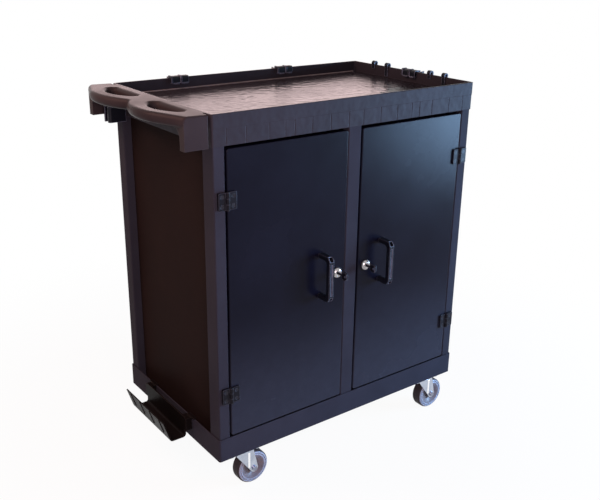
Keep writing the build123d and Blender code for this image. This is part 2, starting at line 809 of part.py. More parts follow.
# Door hinge leaves: two on each door, each with the middle knuckle
for side, sx in sides:
    with BuildPart() as door_hinge_leaves:
        for hinge_z in hinge_heights:
            with BuildSketch(facing_front(door_front)):
                with Locations((sx * (hinge_x - leaf_middle), hinge_z)):
                    RectangleRounded(leaf_plate, hinge_height, leaf_corner_radius)
            extrude(amount=leaf_thickness)
            with BuildSketch(level(hinge_z - knuckle_height / 2)):
                with Locations((sx * hinge_x, hinge_y)):
                    Circle(barrel_radius)
                with Locations((sx * (hinge_x - web_length / 2), web_y)):
                    Rectangle(web_length, web_depth)
                with Locations((sx * hinge_x, hinge_y)):
                    Circle(hinge_pin_radius + running_clearance, mode=Mode.SUBTRACT)
            extrude(amount=knuckle_height)
            hinge_screw_spots = [(sx * (hinge_x - leaf_screw_reach), hinge_z + r) for r in hinge_screw_rises]
            with BuildSketch(facing_front(leaf_front)):
                with Locations(*hinge_screw_spots):
                    Circle(small_screw_radius + screw_clearance)
            extrude(amount=-leaf_thickness, mode=Mode.SUBTRACT)
            with BuildSketch(facing_front(leaf_front)):
                with Locations(*hinge_screw_spots):
                    Circle(small_head_radius + seat_clearance)
            extrude(amount=-small_head_height - seat_clearance, mode=Mode.SUBTRACT)
    door_hinge_leaves.part.label = f"{side}_door_hinge_leaves"
    export_step(door_hinge_leaves.part, f"parts/{side}_door_hinge_leaves.step")

# Pull handles: square bridge straps with a deep screw pocket at each corner
pull_middle_y = door_front - pull_depth / 2
pull_groove_length = pull_length - 2 * (pull_corner_radius + pull_groove_margin)
for side, sx in sides:
    with BuildPart() as pull_handle:
        with BuildSketch(facing_right(sx * pull_x - pull_width / 2)) as strap:
            with Locations((pull_middle_y, pull_z)):
                Rectangle(pull_depth, pull_length)
            fillet(strap.vertices().group_by(Axis.X)[0], pull_corner_radius)
        extrude(amount=pull_width)
        with BuildSketch(facing_right(sx * pull_x - pull_width / 2)) as finger_room:
            with Locations((pull_middle_y + pull_bar / 2, pull_z)):
                Rectangle(pull_depth - pull_bar, pull_length - 2 * pull_leg)
            fillet(finger_room.vertices().group_by(Axis.X)[0], pull_inner_radius)
        extrude(amount=pull_width, mode=Mode.SUBTRACT)
        strap_edges = pull_handle.faces().filter_by(Axis.X).edges()
        strap_edges = strap_edges.filter_by_position(Axis.Y, pull_front, door_front - moving_clearance)
        room_half = pull_length / 2 - pull_leg
        grip_edges = strap_edges.filter_by_position(Axis.Z, pull_z - room_half, pull_z + room_half)
        grip_edges = grip_edges.filter_by_position(Axis.Y, pull_front + pull_bar, door_front)
        fillet([edge for edge in strap_edges if edge not in grip_edges], pull_edge_radius)
        fillet(grip_edges, pull_grip_radius)
        with BuildSketch(facing_front(pull_front)):
            with Locations((sx * pull_x, pull_z)):
                SlotOverall(pull_groove_length, pull_groove_width, rotation=90)
        extrude(amount=-pull_groove_depth, mode=Mode.SUBTRACT)
        pull_screw_spots = [(sx * pull_x, pull_z + way * pull_screw_rise) for way in (-1, 1)]
        with BuildSketch(facing_front(pull_front)):
            with Locations(*pull_screw_spots):
                RectangleRounded(pull_pocket_width, pull_pocket_height, pull_pocket_radius)
        extrude(amount=pull_seat - pull_depth, mode=Mode.SUBTRACT)
        with BuildSketch(facing_front(pull_front)):
            with Locations(*pull_screw_spots):
                Circle(pull_screw_radius + screw_clearance)
        extrude(amount=-pull_depth, mode=Mode.SUBTRACT)
    pull_handle.part.label = f"{side}_pull_handle"
    export_step(pull_handle.part, f"parts/{side}_pull_handle.step")

# Door screws: four flat heads in the hinge leaves and two cap heads in the pull
for side, sx in sides:
    hinge_screw_spots = [(sx * (hinge_x - leaf_screw_reach), z) for z in hinge_screw_heights]
    pull_screw_spots = [(sx * pull_x, pull_z + way * pull_screw_rise) for way in (-1, 1)]
    with BuildPart() as door_screws:
        with BuildSketch(facing_front(leaf_seat)):
            with Locations(*hinge_screw_spots):
                Circle(small_head_radius)
        extrude(amount=small_head_height)
        with BuildSketch(facing_front(leaf_seat)):
            with Locations(*hinge_screw_spots):
                Circle(small_screw_radius)
        extrude(amount=leaf_seat - door_front - door_skin - small_screw_tail)
        with BuildSketch(facing_front(door_front - pull_seat)):
            with Locations(*pull_screw_spots):
                Circle(pull_head_radius)
        extrude(amount=pull_head_height)
        with BuildSketch(facing_front(door_front - pull_seat)):
            with Locations(*pull_screw_spots):
                Circle(pull_screw_radius)
        extrude(amount=-(pull_seat + door_skin + pull_screw_tail))
    door_screws.part.label = f"{side}_door_screws"
    export_step(door_screws.part, f"parts/{side}_door_screws.step")

# Lock bodies: a domed round head on the door and a plain stem behind it
plug_bore = plug_radius + running_clearance
for side, sx in sides:
    with BuildPart() as lock_body:
        with BuildSketch(Plane(origin=(sx * lock_x, 0, lock_z), x_dir=(1, 0, 0), z_dir=(0, 0, 1))):
            with BuildLine():
                Polyline(
                    (plug_bore, lock_face),
                    (plug_bore, stem_end),
                    (lock_stem_radius, stem_end),
                    (lock_stem_radius, door_front),
                    (lock_head_radius, door_front),
                    (lock_head_radius, door_front - lock_rim_height),
                )
                RadiusArc(
                    (lock_head_radius, door_front - lock_rim_height),
                    (lock_face_radius, lock_face),
                    lock_head_height,
                )
                Line((lock_face_radius, lock_face), (plug_bore, lock_face))
            make_face()
        revolve(axis=Axis((sx * lock_x, 0, lock_z), (0, 1, 0)))
    lock_body.part.label = f"{side}_lock_body"
    export_step(lock_body.part, f"parts/{side}_lock_body.step")

# Lock nuts: hold the lock bodies from behind the door's skin
for side, sx in sides:
    with BuildPart() as lock_nut:
        with BuildSketch(facing_front(door_front + door_skin + lock_nut_thickness)):
            with Locations((sx * lock_x, lock_z)):
                RegularPolygon(lock_nut_size, 6)
                Circle(lock_stem_radius + running_clearance, mode=Mode.SUBTRACT)
        extrude(amount=lock_nut_thickness)
    lock_nut.part.label = f"{side}_lock_nut"
    export_step(lock_nut.part, f"parts/{side}_lock_nut.step")

# Lock plugs: turn in the bodies, with a keyway in front and a square tail behind
for side, sx in sides:
    with BuildPart() as lock_plug:
        with BuildSketch(facing_front(stem_end)):
            with Locations((sx * lock_x, lock_z)):
                Circle(plug_radius)
        extrude(amount=stem_end - plug_face)
        with BuildSketch(facing_front(stem_end)):
            with Locations((sx * lock_x, lock_z)):
                Rectangle(plug_tail, plug_tail)
        extrude(amount=stem_end - cam_back - cam_clearance)
        with BuildSketch(facing_front(plug_face)):
            with Locations((sx * lock_x, lock_z)):
                Rectangle(key_thickness + 2 * seat_clearance, key_blade_height + 2 * seat_clearance)
        extrude(amount=-key_blade_length - cam_clearance, mode=Mode.SUBTRACT)
    lock_plug.part.label = f"{side}_lock_plug"
    export_step(lock_plug.part, f"parts/{side}_lock_plug.step")

# Lock cams: point up when open, and turn a quarter turn behind the centre post
for side, sx in sides:
    with BuildPart() as lock_cam:
        with BuildSketch(facing_front(cam_back)):
            with Locations((sx * lock_x, lock_z)):
                Circle(cam_width / 2)
            with Locations((sx * lock_x, lock_z + (cam_reach - cam_width / 4) / 2)):
                Rectangle(cam_width, cam_reach - cam_width / 4)
            with Locations((sx * lock_x, lock_z + cam_reach - cam_width / 4)):
                SlotOverall(cam_width, cam_width / 2)
            with Locations((sx * lock_x, lock_z)):
                Rectangle(plug_tail + screw_clearance, plug_tail + screw_clearance, mode=Mode.SUBTRACT)
        extrude(amount=cam_thickness)
    lock_cam.part.label = f"{side}_lock_cam"
    export_step(lock_cam.part, f"parts/{side}_lock_cam.step")

# Keys: a flat blade in the keyway and a rounded head with a ring hole
key_head_back = plug_face - key_neck
for side, sx in sides:
    with BuildPart() as key:
        with BuildSketch(facing_right(sx * lock_x - key_thickness / 2)):
            with Locations((plug_face + (key_blade_length - key_neck) / 2, lock_z)):
                Rectangle(key_blade_length + key_neck, key_blade_height)
        extrude(amount=key_thickness)
        with BuildSketch(facing_right(sx * lock_x - key_head_thickness / 2)):
            with Locations((key_head_back - key_head_length / 2, lock_z)):
                RectangleRounded(key_head_length, key_head_height, key_head_height / 3)
            with Locations((key_head_back - key_head_length * 3 / 4, lock_z)):
                Circle(key_ring_hole, mode=Mode.SUBTRACT)
        extrude(amount=key_head_thickness)
        fillet(key.faces().filter_by(Axis.X).group_by(Axis.X)[0].edges(), key_head_thickness / 6)
        fillet(key.faces().filter_by(Axis.X).group_by(Axis.X)[-1].edges(), key_head_thickness / 6)
    key.part.label = f"{side}_key"
    export_step(key.part, f"parts/{side}_key.step")

# Rim tool clips: two rounded pads saddled over the rim between raised ribs, and a round jaw outside
clip_planes = [Plane(origin=(x, front_y, 0), x_dir=(1, 0, 0), z_dir=(0, 0, 1)) for x in back_clip_places]
clip_planes.append(Plane(origin=(end_x, right_clip_place, 0), x_dir=(0, -1, 0), z_dir=(0, 0, 1)))
clip_outside = seat_clearance + clip_plate
clip_inside = -rim_wall - seat_clearance
clip_stem_length = clip_jaw_reach - clip_outside
clip_bottom = rim_top - clip_drop
pad_bottom = clip_bottom + clip_lip_height
pad_front = clip_inside - clip_pad_depth
clip_pads = ((clip_rib_place - clip_span / 2) / 2, (clip_rib_place + clip_span / 2) / 2)
saddle_parts = (
    (-clip_span / 2, clip_span, 0),
    (-clip_span / 2, clip_rib_width, clip_rib_proud),
    (clip_rib_place - clip_rib_width / 2, clip_rib_width, clip_rib_proud),
)
with BuildPart() as rim_tool_clips:
    for rim in clip_planes:
        for saddle_start, saddle_width, proud in saddle_parts:
            saddle_front = pad_front - proud
            saddle_top = rim_top + clip_rise + proud
            saddle_origin = rim.origin + rim.x_dir * saddle_start
            with BuildSketch(Plane(origin=saddle_origin, x_dir=rim.y_dir, z_dir=rim.x_dir)) as saddle:
                with Locations(((saddle_front + clip_outside) / 2, (pad_bottom + saddle_top) / 2)):
                    Rectangle(clip_outside - saddle_front, saddle_top - pad_bottom)
                fillet(saddle.vertices().group_by(Axis.Y)[-1].sort_by(Axis.X)[0], clip_pad_radius)
                with Locations(((clip_inside + seat_clearance) / 2, clip_bottom)):
                    Rectangle(seat_clearance - clip_inside, 2 * clip_drop, mode=Mode.SUBTRACT)
            extrude(amount=saddle_width)
        with BuildSketch(rim.offset(clip_bottom)):
            with Locations(*[(x, clip_inside - clip_lip_depth / 2) for x in clip_pads]):
                RectangleRounded(clip_lip_length, clip_lip_depth, clip_lip_height)
        extrude(amount=clip_lip_height)
        with BuildSketch(rim.offset(clip_bottom)):
            with Locations((0, clip_outside + clip_stem_length / 2)):
                Rectangle(clip_stem, clip_stem_length)
            with Locations((0, clip_jaw_reach)):
                Circle(clip_bore_radius + clip_jaw_wall)
                Circle(clip_bore_radius, mode=Mode.SUBTRACT)
            with Locations((0, clip_jaw_reach + clip_bore_radius)):
                Rectangle(clip_mouth, 2 * clip_bore_radius, mode=Mode.SUBTRACT)
        extrude(amount=clip_drop - clip_jaw_sink)
rim_tool_clips.part.label = "rim_tool_clips"
export_step(rim_tool_clips.part, "parts/rim_tool_clips.step")

# Rim hooks: a small ring on a saddle; two hang a leg in the well and two a hook outside
hook_in_x = end_x - rim_wall - seat_clearance - hook_leg
hook_out_x = end_x + seat_clearance + hook_leg
hook_x = (hook_in_x + hook_out_x) / 2
hook_ring_z = rim_top + hook_ring_radius - hook_ring_sink
with BuildPart() as rim_hooks:
    for place in inner_hook_places + outer_hook_places:
        inner_leg = hook_long_leg if place in inner_hook_places else hook_short_leg
        outer_leg = hook_outer_drop if place in outer_hook_places else hook_short_leg
        with BuildSketch(facing_front(place + hook_width / 2)):
            with Locations((hook_x, rim_top + hook_leg / 2)):
                Rectangle(hook_out_x - hook_in_x, hook_leg)
            with Locations((hook_x, hook_ring_z)):
                Circle(hook_ring_radius)
            with Locations((hook_in_x + hook_leg / 2, rim_top + (hook_leg - inner_leg) / 2)):
                Rectangle(hook_leg, inner_leg + hook_leg)
            with Locations((hook_out_x - hook_leg / 2, rim_top + (hook_leg - outer_leg) / 2)):
                Rectangle(hook_leg, outer_leg + hook_leg)
            if place in outer_hook_places:
                with Locations((hook_out_x + (hook_outer_reach - hook_leg) / 2, rim_top - outer_leg)):
                    Rectangle(hook_outer_reach + hook_leg, hook_leg)
                with Locations((hook_out_x + hook_outer_reach, rim_top - outer_leg + hook_outer_tip / 2)):
                    Rectangle(hook_leg, hook_outer_tip + hook_leg)
            with Locations((hook_x, hook_ring_z)):
                Circle(hook_ring_hole, mode=Mode.SUBTRACT)
            with Locations((hook_x, rim_top - hook_ring_radius / 2)):
                Rectangle(rim_wall + 2 * seat_clearance, hook_ring_radius, mode=Mode.SUBTRACT)
        extrude(amount=hook_width)
rim_hooks.part.label = "rim_hooks"
export_step(rim_hooks.part, "parts/rim_hooks.step")

# End tool clip: a sprung jaw on the left end of the skirt, open to the left
end_clip_place = front_y - end_clip_from_back
end_jaw_x = -skirt_x - end_clip_floor - end_clip_bore_radius
end_clip_bottom = skirt_bottom - end_clip_overhang
with BuildPart() as end_tool_clip:
    with BuildSketch(level(end_clip_bottom)) as jaw:
        with Locations((-skirt_x - end_clip_length / 2, end_clip_place)):
            Rectangle(end_clip_length, end_clip_width)
        fillet(jaw.vertices().group_by(Axis.X)[0], end_clip_corner_radius)
        with Locations((end_jaw_x, end_clip_place)):
            Circle(end_clip_bore_radius, mode=Mode.SUBTRACT)
        with Locations((end_jaw_x - end_clip_length / 2, end_clip_place)):
            Rectangle(end_clip_length, end_clip_mouth, mode=Mode.SUBTRACT)
    extrude(amount=end_clip_height)
end_tool_clip.part.label = "end_tool_clip"
export_step(end_tool_clip.part, "parts/end_tool_clip.step")

# Tool rest: a bent trough that hangs by two hooks from the left lip of the base
rest_x = -end_x - rest_stand_off
rest_floor_z = base_bottom + rest_floor_rise
rest_toe = Vector(rest_x - rest_floor_width - rest_sheet, rest_floor_z)
rest_tip = rest_toe + Vector(-rest_lip_lean, rest_lip_height)
rest_along = (rest_tip - rest_toe).normalized()
rest_away = Vector(-rest_along.Y, rest_along.X)
rest_hook_in = -frame_x + seat_clearance + rest_sheet
with BuildPart() as tool_rest:
    with BuildSketch(facing_front(rest_place + rest_length / 2)):
        with BuildLine():
            FilletPolyline(
                (rest_x, base_top + rest_sheet),
                (rest_x, rest_floor_z),
                rest_toe,
                rest_tip,
                radius=rest_bend_radius,
            )
            offset(amount=rest_sheet, side=Side.RIGHT)
        make_face()
    extrude(amount=rest_length)
    for way in (-1, 1):
        hook_y = rest_hook_place + way * rest_hook_spread / 2
        with BuildSketch(facing_front(hook_y + rest_hook_width / 2)):
            with Locations(((-end_x - rest_sheet + rest_hook_in) / 2, base_top + rest_sheet / 2)):
                Rectangle(rest_hook_in + end_x + rest_sheet, rest_sheet)
            with Locations((rest_hook_in - rest_sheet / 2, base_top + (rest_sheet - rest_hook_drop) / 2)):
                Rectangle(rest_sheet, rest_hook_drop + rest_sheet)
        extrude(amount=rest_hook_width)
        arm_y = rest_place + way * (rest_length - rest_arm_width / 2) / 2
        with BuildSketch(facing_front(arm_y + rest_arm_width / 2)):
            with Locations((-end_x - (rest_stand_off + rest_sheet) / 2, base_top - rest_arm_height / 2)):
                Rectangle(rest_stand_off + rest_sheet, rest_arm_height)
        extrude(amount=rest_arm_width)
    for rib in range(rest_rib_count):
        rib_y = rest_place + (rib - (rest_rib_count - 1) / 2) * rest_rib_pitch
        with BuildSketch(facing_front(rib_y + rest_rib_width / 2)):
            with BuildLine():
                rib_foot = rest_toe + rest_along * 2 * rest_bend_radius - rest_away * rest_sheet / 2
                rib_head = rest_tip - rest_along * rest_rib_height - rest_away * rest_sheet / 2
                rib_out = rest_away * (rest_rib_height + rest_sheet / 2)
                Polyline(rib_foot, rib_head, rib_head + rib_out, rib_foot + rib_out, close=True)
            make_face()
        extrude(amount=rest_rib_width)
tool_rest.part.label = "tool_rest"
export_step(tool_rest.part, "parts/tool_rest.step")

# Caster plates: a bolted plate with a raised swivel race under it, at each corner
with BuildPart() as caster_plates:
    for _, x, y in casters:
        with BuildSketch(level(plate_bottom)):
            with Locations((x, y)):
                RectangleRounded(plate_length, plate_width, plate_corner_radius)
        extrude(amount=plate_thickness)
        with BuildSketch(level(race_bottom)):
            with Locations((x, y)):
                Circle(race_radius)
        extrude(amount=race_height)
        with BuildSketch(level(race_bottom)):
            with Locations((x, y)):
                Circle(king_pin_radius + running_clearance)
        extrude(amount=race_height + plate_thickness, mode=Mode.SUBTRACT)
    with BuildSketch(level(plate_bottom)):
        with Locations(*caster_bolt_places):
            Circle(plate_bolt_radius + screw_clearance)
    extrude(amount=plate_thickness, mode=Mode.SUBTRACT)
caster_plates.part.label = "caster_plates"
export_step(caster_plates.part, "parts/caster_plates.step")

# King pins: the swivel axles, each with a head under the crown of its fork
with BuildPart() as king_pins:
    pin_bottom = crown_bottom - moving_clearance - king_pin_head_height
    swivel_places = [(x, y) for _, x, y in casters]
    with BuildSketch(level(pin_bottom)):
        with Locations(*swivel_places):
            Circle(king_pin_head_radius)
    extrude(amount=king_pin_head_height)
    with BuildSketch(level(pin_bottom)):
        with Locations(*swivel_places):
            Circle(king_pin_radius)
    extrude(amount=base_bottom - pin_bottom)
king_pins.part.label = "king_pins"
export_step(king_pins.part, "parts/king_pins.step")

# Caster bolts: four in each plate, screwed up into the deck
with BuildPart() as caster_bolts:
    with BuildSketch(level(plate_bottom - plate_bolt_head_height)):
        with Locations(*caster_bolt_places):
            RegularPolygon(plate_bolt_head_radius, 6)
    extrude(amount=plate_bolt_head_height)
    with BuildSketch(level(plate_bottom)):
        with Locations(*caster_bolt_places):
            Circle(plate_bolt_radius)
    extrude(amount=plate_thickness + plate_bolt_grip - moving_clearance)
caster_bolts.part.label = "caster_bolts"
export_step(caster_bolts.part, "parts/caster_bolts.step")

# Casters: a fork that swivels, an axle bolt, a hub and a tyre at each corner
shoulder_length = fork_shoulder_back + fork_shoulder_front
boss_length = fork_gap - 2 * moving_clearance
for name, x, y in casters:
    shoulder_x = x + (fork_shoulder_front - fork_shoulder_back) / 2
    wheel_place = (x + wheel_trail, wheel_radius)

    with BuildPart() as fork:
        with BuildSketch(level(crown_bottom)):
            with Locations((x, y)):
                Circle(fork_crown_radius)
            with Locations((shoulder_x, y)):
                Rectangle(shoulder_length, 2 * fork_outer)
            with Locations((x, y)):
                Circle(king_pin_radius + running_clearance, mode=Mode.SUBTRACT)
        extrude(amount=fork_crown)
        for leg_back in (y - fork_gap / 2, y + fork_outer):
            with BuildSketch(facing_front(leg_back)):
                with Locations(wheel_place):
                    Circle(fork_foot_radius)
                with Locations((shoulder_x, crown_top - fork_shoulder_height / 2)):
                    Rectangle(shoulder_length, fork_shoulder_height)
                make_hull()
                with Locations(wheel_place):
                    Circle(axle_radius + screw_clearance, mode=Mode.SUBTRACT)
            extrude(amount=fork_sheet)
    fork.part.label = f"{name}_fork"
    export_step(fork.part, f"parts/{name}_fork.step")

    with BuildPart() as axle:
        with BuildSketch(facing_front(y + fork_outer)):
            with Locations(wheel_place):
                Circle(axle_radius)
        extrude(amount=2 * fork_outer)
        with BuildSketch(facing_front(y - fork_outer)):
            with Locations(wheel_place):
                Circle(axle_head_radius)
        extrude(amount=axle_head_height)
        with BuildSketch(facing_front(y + fork_outer)):
            with Locations(wheel_place):
                RegularPolygon(axle_head_radius, 6)
        extrude(amount=-axle_head_height)
    axle.part.label = f"{name}_axle"
    export_step(axle.part, f"parts/{name}_axle.step")

    with BuildPart() as hub:
        with BuildSketch(facing_front(y + wheel_width / 2)):
            with Locations(wheel_place):
                Circle(hub_radius)
        extrude(amount=wheel_width)
        for rim_y, inward in ((y + wheel_width / 2, 1), (y - wheel_width / 2, -1)):
            with BuildSketch(facing_front(rim_y)):
                with Locations(wheel_place):
                    Circle(hub_radius - hub_rim)
                    Circle(hub_boss_radius, mode=Mode.SUBTRACT)
            extrude(amount=inward * hub_recess, mode=Mode.SUBTRACT)
        with BuildSketch(facing_front(y + boss_length / 2)):
            with Locations(wheel_place):
                Circle(hub_boss_radius)
        extrude(amount=boss_length)
        with BuildSketch(facing_front(y + boss_length / 2)):
            with Locations(wheel_place):
                Circle(axle_radius + running_clearance)
        extrude(amount=boss_length, mode=Mode.SUBTRACT)
    hub.part.label = f"{name}_hub"
    export_step(hub.part, f"parts/{name}_hub.step")

    with BuildPart() as tyre:
        with BuildSketch(facing_front(y + wheel_width / 2)):
            with Locations(wheel_place):
                Circle(wheel_radius)
        extrude(amount=wheel_width)
        fillet(tyre.edges().filter_by(GeomType.CIRCLE), tyre_edge_radius)
        with BuildSketch(facing_front(y + wheel_width / 2)):
            with Locations(wheel_place):
                Circle(hub_radius + running_clearance)
        extrude(amount=wheel_width, mode=Mode.SUBTRACT)
    tyre.part.label = f"{name}_tyre"
    export_step(tyre.part, f"parts/{name}_tyre.step")
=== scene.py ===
import json
import math

import bmesh
import bpy
from mathutils import Matrix, Vector


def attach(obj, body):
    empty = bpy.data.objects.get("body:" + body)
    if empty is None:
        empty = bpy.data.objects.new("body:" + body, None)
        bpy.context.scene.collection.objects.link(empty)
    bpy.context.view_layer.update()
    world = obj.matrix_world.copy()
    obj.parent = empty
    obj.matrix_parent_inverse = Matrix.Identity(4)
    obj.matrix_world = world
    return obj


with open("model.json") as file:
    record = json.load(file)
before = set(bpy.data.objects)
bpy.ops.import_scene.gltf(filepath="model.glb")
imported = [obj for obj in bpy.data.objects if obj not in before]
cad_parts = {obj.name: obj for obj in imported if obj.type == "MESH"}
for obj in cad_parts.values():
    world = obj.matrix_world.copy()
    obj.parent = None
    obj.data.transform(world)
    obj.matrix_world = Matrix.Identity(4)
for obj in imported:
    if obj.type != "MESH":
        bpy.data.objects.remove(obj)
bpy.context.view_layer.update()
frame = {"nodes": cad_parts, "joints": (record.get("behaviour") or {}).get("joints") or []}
solids = frame["nodes"]


# Caster steel: the swivel plates, forks with a pressed rib on each leg, king pins, axles and bolts.
# They are pressed from sheet or turned from bar, then bright zinc plated, so they are
# smooth, a little cloudy, and carry fine draw marks.

def give_sockets(group, inputs, outputs):
    """Gives a node group its inputs, with their usual values, and its outputs."""
    for name, usual in inputs.items():
        group.interface.new_socket(name, in_out="INPUT", socket_type="NodeSocketFloat").default_value = usual
    for name, kind in outputs.items():
        group.interface.new_socket(name, in_out="OUTPUT", socket_type=kind)


def clouding_group():
    """Slow cloudy change over a surface, for plating, hand marks and uneven gloss."""
    group = bpy.data.node_groups.new("clouding", "ShaderNodeTree")
    give_sockets(group, {"Size": 12.0, "Low": 0.3, "High": 0.5},
                 {"Value": "NodeSocketFloat", "Mask": "NodeSocketFloat"})
    nodes, link = group.nodes, group.links.new
    given = nodes.new("NodeGroupInput")
    out = nodes.new("NodeGroupOutput")
    place = nodes.new("ShaderNodeTexCoord")
    cloud = nodes.new("ShaderNodeTexNoise")
    cloud.inputs["Detail"].default_value = 5.0
    cloud.inputs["Roughness"].default_value = 0.6
    link(place.outputs["Object"], cloud.inputs["Vector"])
    link(given.outputs["Size"], cloud.inputs["Scale"])
    spread = nodes.new("ShaderNodeMapRange")
    spread.inputs["From Min"].default_value = 0.32
    spread.inputs["From Max"].default_value = 0.68
    link(cloud.outputs["Fac"], spread.inputs["Value"])
    link(given.outputs["Low"], spread.inputs["To Min"])
    link(given.outputs["High"], spread.inputs["To Max"])
    mask = nodes.new("ShaderNodeMapRange")
    mask.inputs["From Min"].default_value = 0.35
    mask.inputs["From Max"].default_value = 0.65
    link(cloud.outputs["Fac"], mask.inputs["Value"])
    link(spread.outputs["Result"], out.inputs["Value"])
    link(mask.outputs["Result"], out.inputs["Mask"])
    return group


clouding = clouding_group()


def grain_group():
    """Fine moulded or sprayed grain as a height, with a slower wave under it."""
    group = bpy.data.node_groups.new("grain", "ShaderNodeTree")
    give_sockets(group, {"Grains per metre": 1500.0, "Waves per metre": 25.0, "Wave share": 0.3},
                 {"Height": "NodeSocketFloat"})
    nodes, link = group.nodes, group.links.new
    given = nodes.new("NodeGroupInput")
    out = nodes.new("NodeGroupOutput")
    place = nodes.new("ShaderNodeTexCoord")
    fine = nodes.new("ShaderNodeTexNoise")
    fine.inputs["Detail"].default_value = 2.0
    link(place.outputs["Object"], fine.inputs["Vector"])
    link(given.outputs["Grains per metre"], fine.inputs["Scale"])
    slow = nodes.new("ShaderNodeTexNoise")
    slow.inputs["Detail"].default_value = 1.0
    link(place.outputs["Object"], slow.inputs["Vector"])
    link(given.outputs["Waves per metre"], slow.inputs["Scale"])
    both = nodes.new("ShaderNodeMix")
    both.data_type = "FLOAT"
    link(given.outputs["Wave share"], both.inputs["Factor"])
    link(fine.outputs["Fac"], both.inputs["A"])
    link(slow.outputs["Fac"], both.inputs["B"])
    link(both.outputs["Result"], out.inputs["Height"])
    return group


grain = grain_group()


def edge_wear_and_highlight_group():
    """A mask of edges painted lighter, as rubbed wear and as highlights, and the softened normal that a real
    edge has.
    """
    group = bpy.data.node_groups.new("worn_and_highlit_edges", "ShaderNodeTree")
    give_sockets(group, {"Edge": 0.0015, "Amount": 0.5, "Full": 0.80},
                 {"Mask": "NodeSocketFloat", "Normal": "NodeSocketVector"})
    nodes, link = group.nodes, group.links.new
    given = nodes.new("NodeGroupInput")
    out = nodes.new("NodeGroupOutput")
    soft = nodes.new("ShaderNodeBevel")
    soft.samples = 6
    link(given.outputs["Edge"], soft.inputs["Radius"])
    true_face = nodes.new("ShaderNodeNewGeometry")
    agree = nodes.new("ShaderNodeVectorMath")
    agree.operation = "DOT_PRODUCT"
    link(soft.outputs["Normal"], agree.inputs[0])
    link(true_face.outputs["Normal"], agree.inputs[1])
    bend = nodes.new("ShaderNodeMapRange")
    bend.inputs["From Min"].default_value = 0.99
    link(agree.outputs["Value"], bend.inputs["Value"])
    link(given.outputs["Full"], bend.inputs["From Max"])
    place = nodes.new("ShaderNodeTexCoord")
    patchy = nodes.new("ShaderNodeTexNoise")
    patchy.inputs["Scale"].default_value = 70.0
    patchy.inputs["Detail"].default_value = 4.0
    link(place.outputs["Object"], patchy.inputs["Vector"])
    share = nodes.new("ShaderNodeMath")
    share.operation = "MULTIPLY"
    link(bend.outputs["Result"], share.inputs[0])
    link(patchy.outputs["Fac"], share.inputs[1])
    scaled = nodes.new("ShaderNodeMath")
    scaled.operation = "MULTIPLY"
    scaled.use_clamp = True
    link(share.outputs["Value"], scaled.inputs[0])
    link(given.outputs["Amount"], scaled.inputs[1])
    link(scaled.outputs["Value"], out.inputs["Mask"])
    link(soft.outputs["Normal"], out.inputs["Normal"])
    return group


worn_and_highlit_edges = edge_wear_and_highlight_group()


def floor_reflection_group():
    """A mask for a painted reflection of the floor, which thickens towards the floor, between two heights.
    """
    group = bpy.data.node_groups.new("painted_floor_reflection", "ShaderNodeTree")
    give_sockets(group, {"Low": 0.15, "High": 0.50, "Amount": 0.5}, {"Mask": "NodeSocketFloat"})
    nodes, link = group.nodes, group.links.new
    given = nodes.new("NodeGroupInput")
    out = nodes.new("NodeGroupOutput")
    place = nodes.new("ShaderNodeTexCoord")
    split = nodes.new("ShaderNodeSeparateXYZ")
    link(place.outputs["Object"], split.inputs["Vector"])
    fall = nodes.new("ShaderNodeMapRange")
    fall.interpolation_type = "SMOOTHSTEP"
    link(split.outputs["Z"], fall.inputs["Value"])
    link(given.outputs["High"], fall.inputs["From Min"])
    link(given.outputs["Low"], fall.inputs["From Max"])
    blotches = nodes.new("ShaderNodeTexNoise")
    blotches.inputs["Scale"].default_value = 38.0
    blotches.inputs["Detail"].default_value = 6.0
    blotches.inputs["Roughness"].default_value = 0.7
    link(place.outputs["Object"], blotches.inputs["Vector"])
    patchy = nodes.new("ShaderNodeMapRange")
    patchy.inputs["From Min"].default_value = 0.30
    patchy.inputs["From Max"].default_value = 0.70
    patchy.inputs["To Min"].default_value = 0.75
    link(blotches.outputs["Fac"], patchy.inputs["Value"])
    share = nodes.new("ShaderNodeMath")
    share.operation = "MULTIPLY"
    link(fall.outputs["Result"], share.inputs[0])
    link(patchy.outputs["Result"], share.inputs[1])
    scaled = nodes.new("ShaderNodeMath")
    scaled.operation = "MULTIPLY"
    link(share.outputs["Value"], scaled.inputs[0])
    link(given.outputs["Amount"], scaled.inputs[1])
    link(scaled.outputs["Value"], out.inputs["Mask"])
    return group


painted_floor_reflection = floor_reflection_group()


